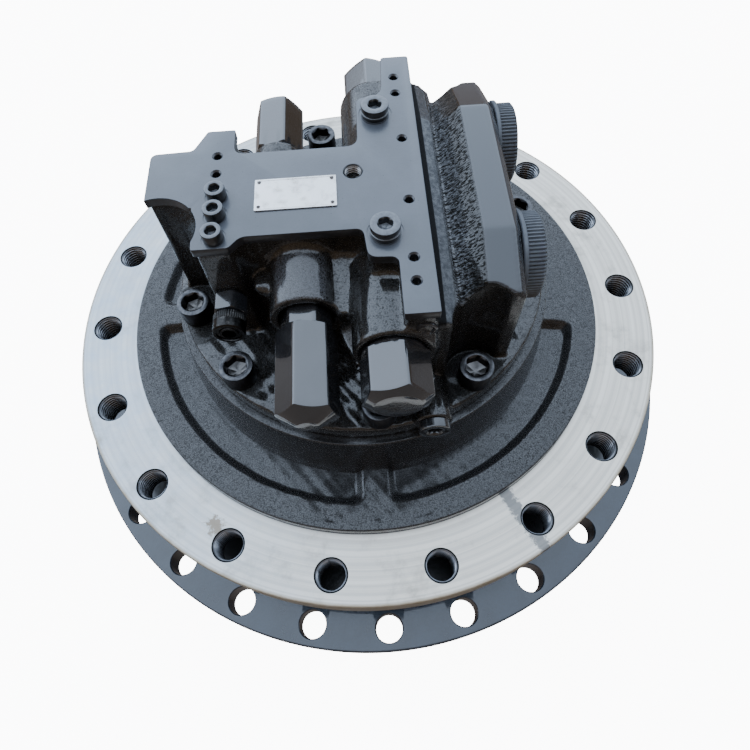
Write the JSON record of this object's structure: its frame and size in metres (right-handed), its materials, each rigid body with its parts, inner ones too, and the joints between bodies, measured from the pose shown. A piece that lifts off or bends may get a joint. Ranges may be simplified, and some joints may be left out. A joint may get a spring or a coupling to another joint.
{
  "type": "excavator final drive",
  "caption": "Hydraulic travel motor on a planetary hub, with a frame flange, a sprocket flange and a machined valve cover.",
  "frame": {"origin": "on the hub's axis, at the foot of the end cover", "axes": "+Z along the axis toward the motor's rear cover, +X toward the two main ports"},
  "size_m": [0.555, 0.555, 0.4979],
  "materials": {
    "case_paint": "gloss",
    "cover_paint": "gloss",
    "fitting_paint": "gloss",
    "hub_paint": "satin",
    "bolt_steel": "oiled black",
    "plug_steel": "zinc",
    "plate_aluminium": "satin",
    "cap_plastic": "matte",
    "gear_steel": "ground",
    "bearing_steel": "polished",
    "bronze": "satin"
  },
  "bodies": {
    "drive_body": {"motor_case": "case_paint", "frame_flange": "gear_steel", "rear_cover": "cover_paint", "name_plate": "plate_aluminium", "motor_bolt_1": "bolt_steel", "motor_bolt_2": "bolt_steel", "motor_bolt_3": "bolt_steel", "motor_bolt_4": "bolt_steel", "motor_bolt_5": "bolt_steel", "motor_bolt_6": "bolt_steel", "motor_bolt_7": "bolt_steel", "motor_bolt_8": "bolt_steel", "spool_cap_front": "fitting_paint", "spool_cap_back": "fitting_paint", "relief_cap_front": "fitting_paint", "relief_cap_back": "fitting_paint", "speed_union": "fitting_paint", "pilot_plug_1": "fitting_paint", "pilot_plug_2": "fitting_paint", "pilot_plug_3": "fitting_paint", "passage_plug_front": "fitting_paint", "passage_plug_back": "fitting_paint", "arm_plug": "fitting_paint", "drain_plug": "fitting_paint", "port_cover_front": "cap_plastic", "port_cover_back": "cap_plastic", "carrier_2": "gear_steel", "bearing_nut": "gear_steel", "lower_bearing_cone": "bearing_steel", "upper_bearing_cone": "bearing_steel", "seal_ring_fixed": "bearing_steel", "swash_plate": "gear_steel", "valve_plate": "bronze", "brake_plates": "gear_steel", "brake_spring": "bearing_steel", "front_shaft_bearing": "bearing_steel", "rear_shaft_bearing": "bearing_steel"},
    "hub_body": {"hub": "hub_paint", "ring_gear": "hub_paint", "end_cover": "hub_paint", "lower_bearing_cup": "bearing_steel", "upper_bearing_cup": "bearing_steel", "seal_ring_turning": "bearing_steel"},
    "carrier_1_body": {"carrier_1": "gear_steel", "sun_gear_2": "gear_steel"},
    "motor_shaft": {"drive_shaft": "gear_steel", "sun_gear_1": "gear_steel", "cylinder_block": "gear_steel", "piston_set": "bearing_steel", "brake_discs": "bronze"},
    "lower_rollers": {"lower_bearing_rollers": "bearing_steel"},
    "upper_rollers": {"upper_bearing_rollers": "bearing_steel"},
    "brake_release": {"brake_piston": "gear_steel"},
    "spool": {"counterbalance_spool": "bearing_steel"},
    "planet_1_a_body": {"planet_1_a": "gear_steel"},
    "planet_1_b_body": {"planet_1_b": "gear_steel"},
    "planet_1_c_body": {"planet_1_c": "gear_steel"},
    "planet_2_a_body": {"planet_2_a": "gear_steel"},
    "planet_2_b_body": {"planet_2_b": "gear_steel"},
    "planet_2_c_body": {"planet_2_c": "gear_steel"}
  },
  "joints": [
    {"name": "hub_spin", "type": "hinge", "parent": "drive_body", "child": "hub_body", "pos_m": [0, 0, 0.24], "axis": [0, 0, 1], "continuous": true},
    {"name": "carrier_1_spin", "type": "hinge", "parent": "drive_body", "child": "carrier_1_body", "pos_m": [0, 0, 0.074], "axis": [0, 0, 1], "continuous": true},
    {"name": "shaft_spin", "type": "hinge", "parent": "drive_body", "child": "motor_shaft", "pos_m": [0, 0, 0.25], "axis": [0, 0, 1], "continuous": true},
    {"name": "planet_1_a_spin", "type": "hinge", "parent": "carrier_1_body", "child": "planet_1_a_body", "pos_m": [0.105, 0, 0.048], "axis": [0, 0, 1], "continuous": true},
    {"name": "planet_1_b_spin", "type": "hinge", "parent": "carrier_1_body", "child": "planet_1_b_body", "pos_m": [-0.0525, 0.09093, 0.048], "axis": [0, 0, 1], "continuous": true},
    {"name": "planet_1_c_spin", "type": "hinge", "parent": "carrier_1_body", "child": "planet_1_c_body", "pos_m": [-0.0525, -0.09093, 0.048], "axis": [0, 0, 1], "continuous": true},
    {"name": "planet_2_a_spin", "type": "hinge", "parent": "drive_body", "child": "planet_2_a_body", "pos_m": [0.1155, 0, 0.123], "axis": [0, 0, 1], "continuous": true},
    {"name": "planet_2_b_spin", "type": "hinge", "parent": "drive_body", "child": "planet_2_b_body", "pos_m": [-0.05775, 0.10003, 0.123], "axis": [0, 0, 1], "continuous": true},
    {"name": "planet_2_c_spin", "type": "hinge", "parent": "drive_body", "child": "planet_2_c_body", "pos_m": [-0.05775, -0.10003, 0.123], "axis": [0, 0, 1], "continuous": true},
    {"name": "lower_rollers_spin", "type": "hinge", "parent": "drive_body", "child": "lower_rollers", "pos_m": [0, 0, 0.195], "axis": [0, 0, 1], "continuous": true},
    {"name": "upper_rollers_spin", "type": "hinge", "parent": "drive_body", "child": "upper_rollers", "pos_m": [0, 0, 0.251], "axis": [0, 0, 1], "continuous": true},
    {"name": "brake_piston_slide", "type": "slide", "parent": "drive_body", "child": "brake_release", "axis": [0, 0, 1], "range_m": [0, 0.0015], "stiffness_N_per_m": 20000, "deforming": ["brake_spring"]},
    {"name": "spool_slide", "type": "slide", "parent": "drive_body", "child": "spool", "axis": [0, 1, 0], "range_m": [-0.006, 0.006], "stiffness_N_per_m": 2000}
  ],
  "couplings": [
    {"joint": "carrier_1_spin", "follows": "hub_spin", "ratio": -3.7143},
    {"joint": "shaft_spin", "follows": "hub_spin", "ratio": -34.357},
    {"joint": "planet_1_a_spin", "follows": "hub_spin", "ratio": 11.143},
    {"joint": "planet_1_b_spin", "follows": "hub_spin", "ratio": 11.143},
    {"joint": "planet_1_c_spin", "follows": "hub_spin", "ratio": 11.143},
    {"joint": "planet_2_a_spin", "follows": "hub_spin", "ratio": 2.7368},
    {"joint": "planet_2_b_spin", "follows": "hub_spin", "ratio": 2.7368},
    {"joint": "planet_2_c_spin", "follows": "hub_spin", "ratio": 2.7368},
    {"joint": "lower_rollers_spin", "follows": "hub_spin", "ratio": 0.5265},
    {"joint": "upper_rollers_spin", "follows": "hub_spin", "ratio": 0.5265}
  ]
}
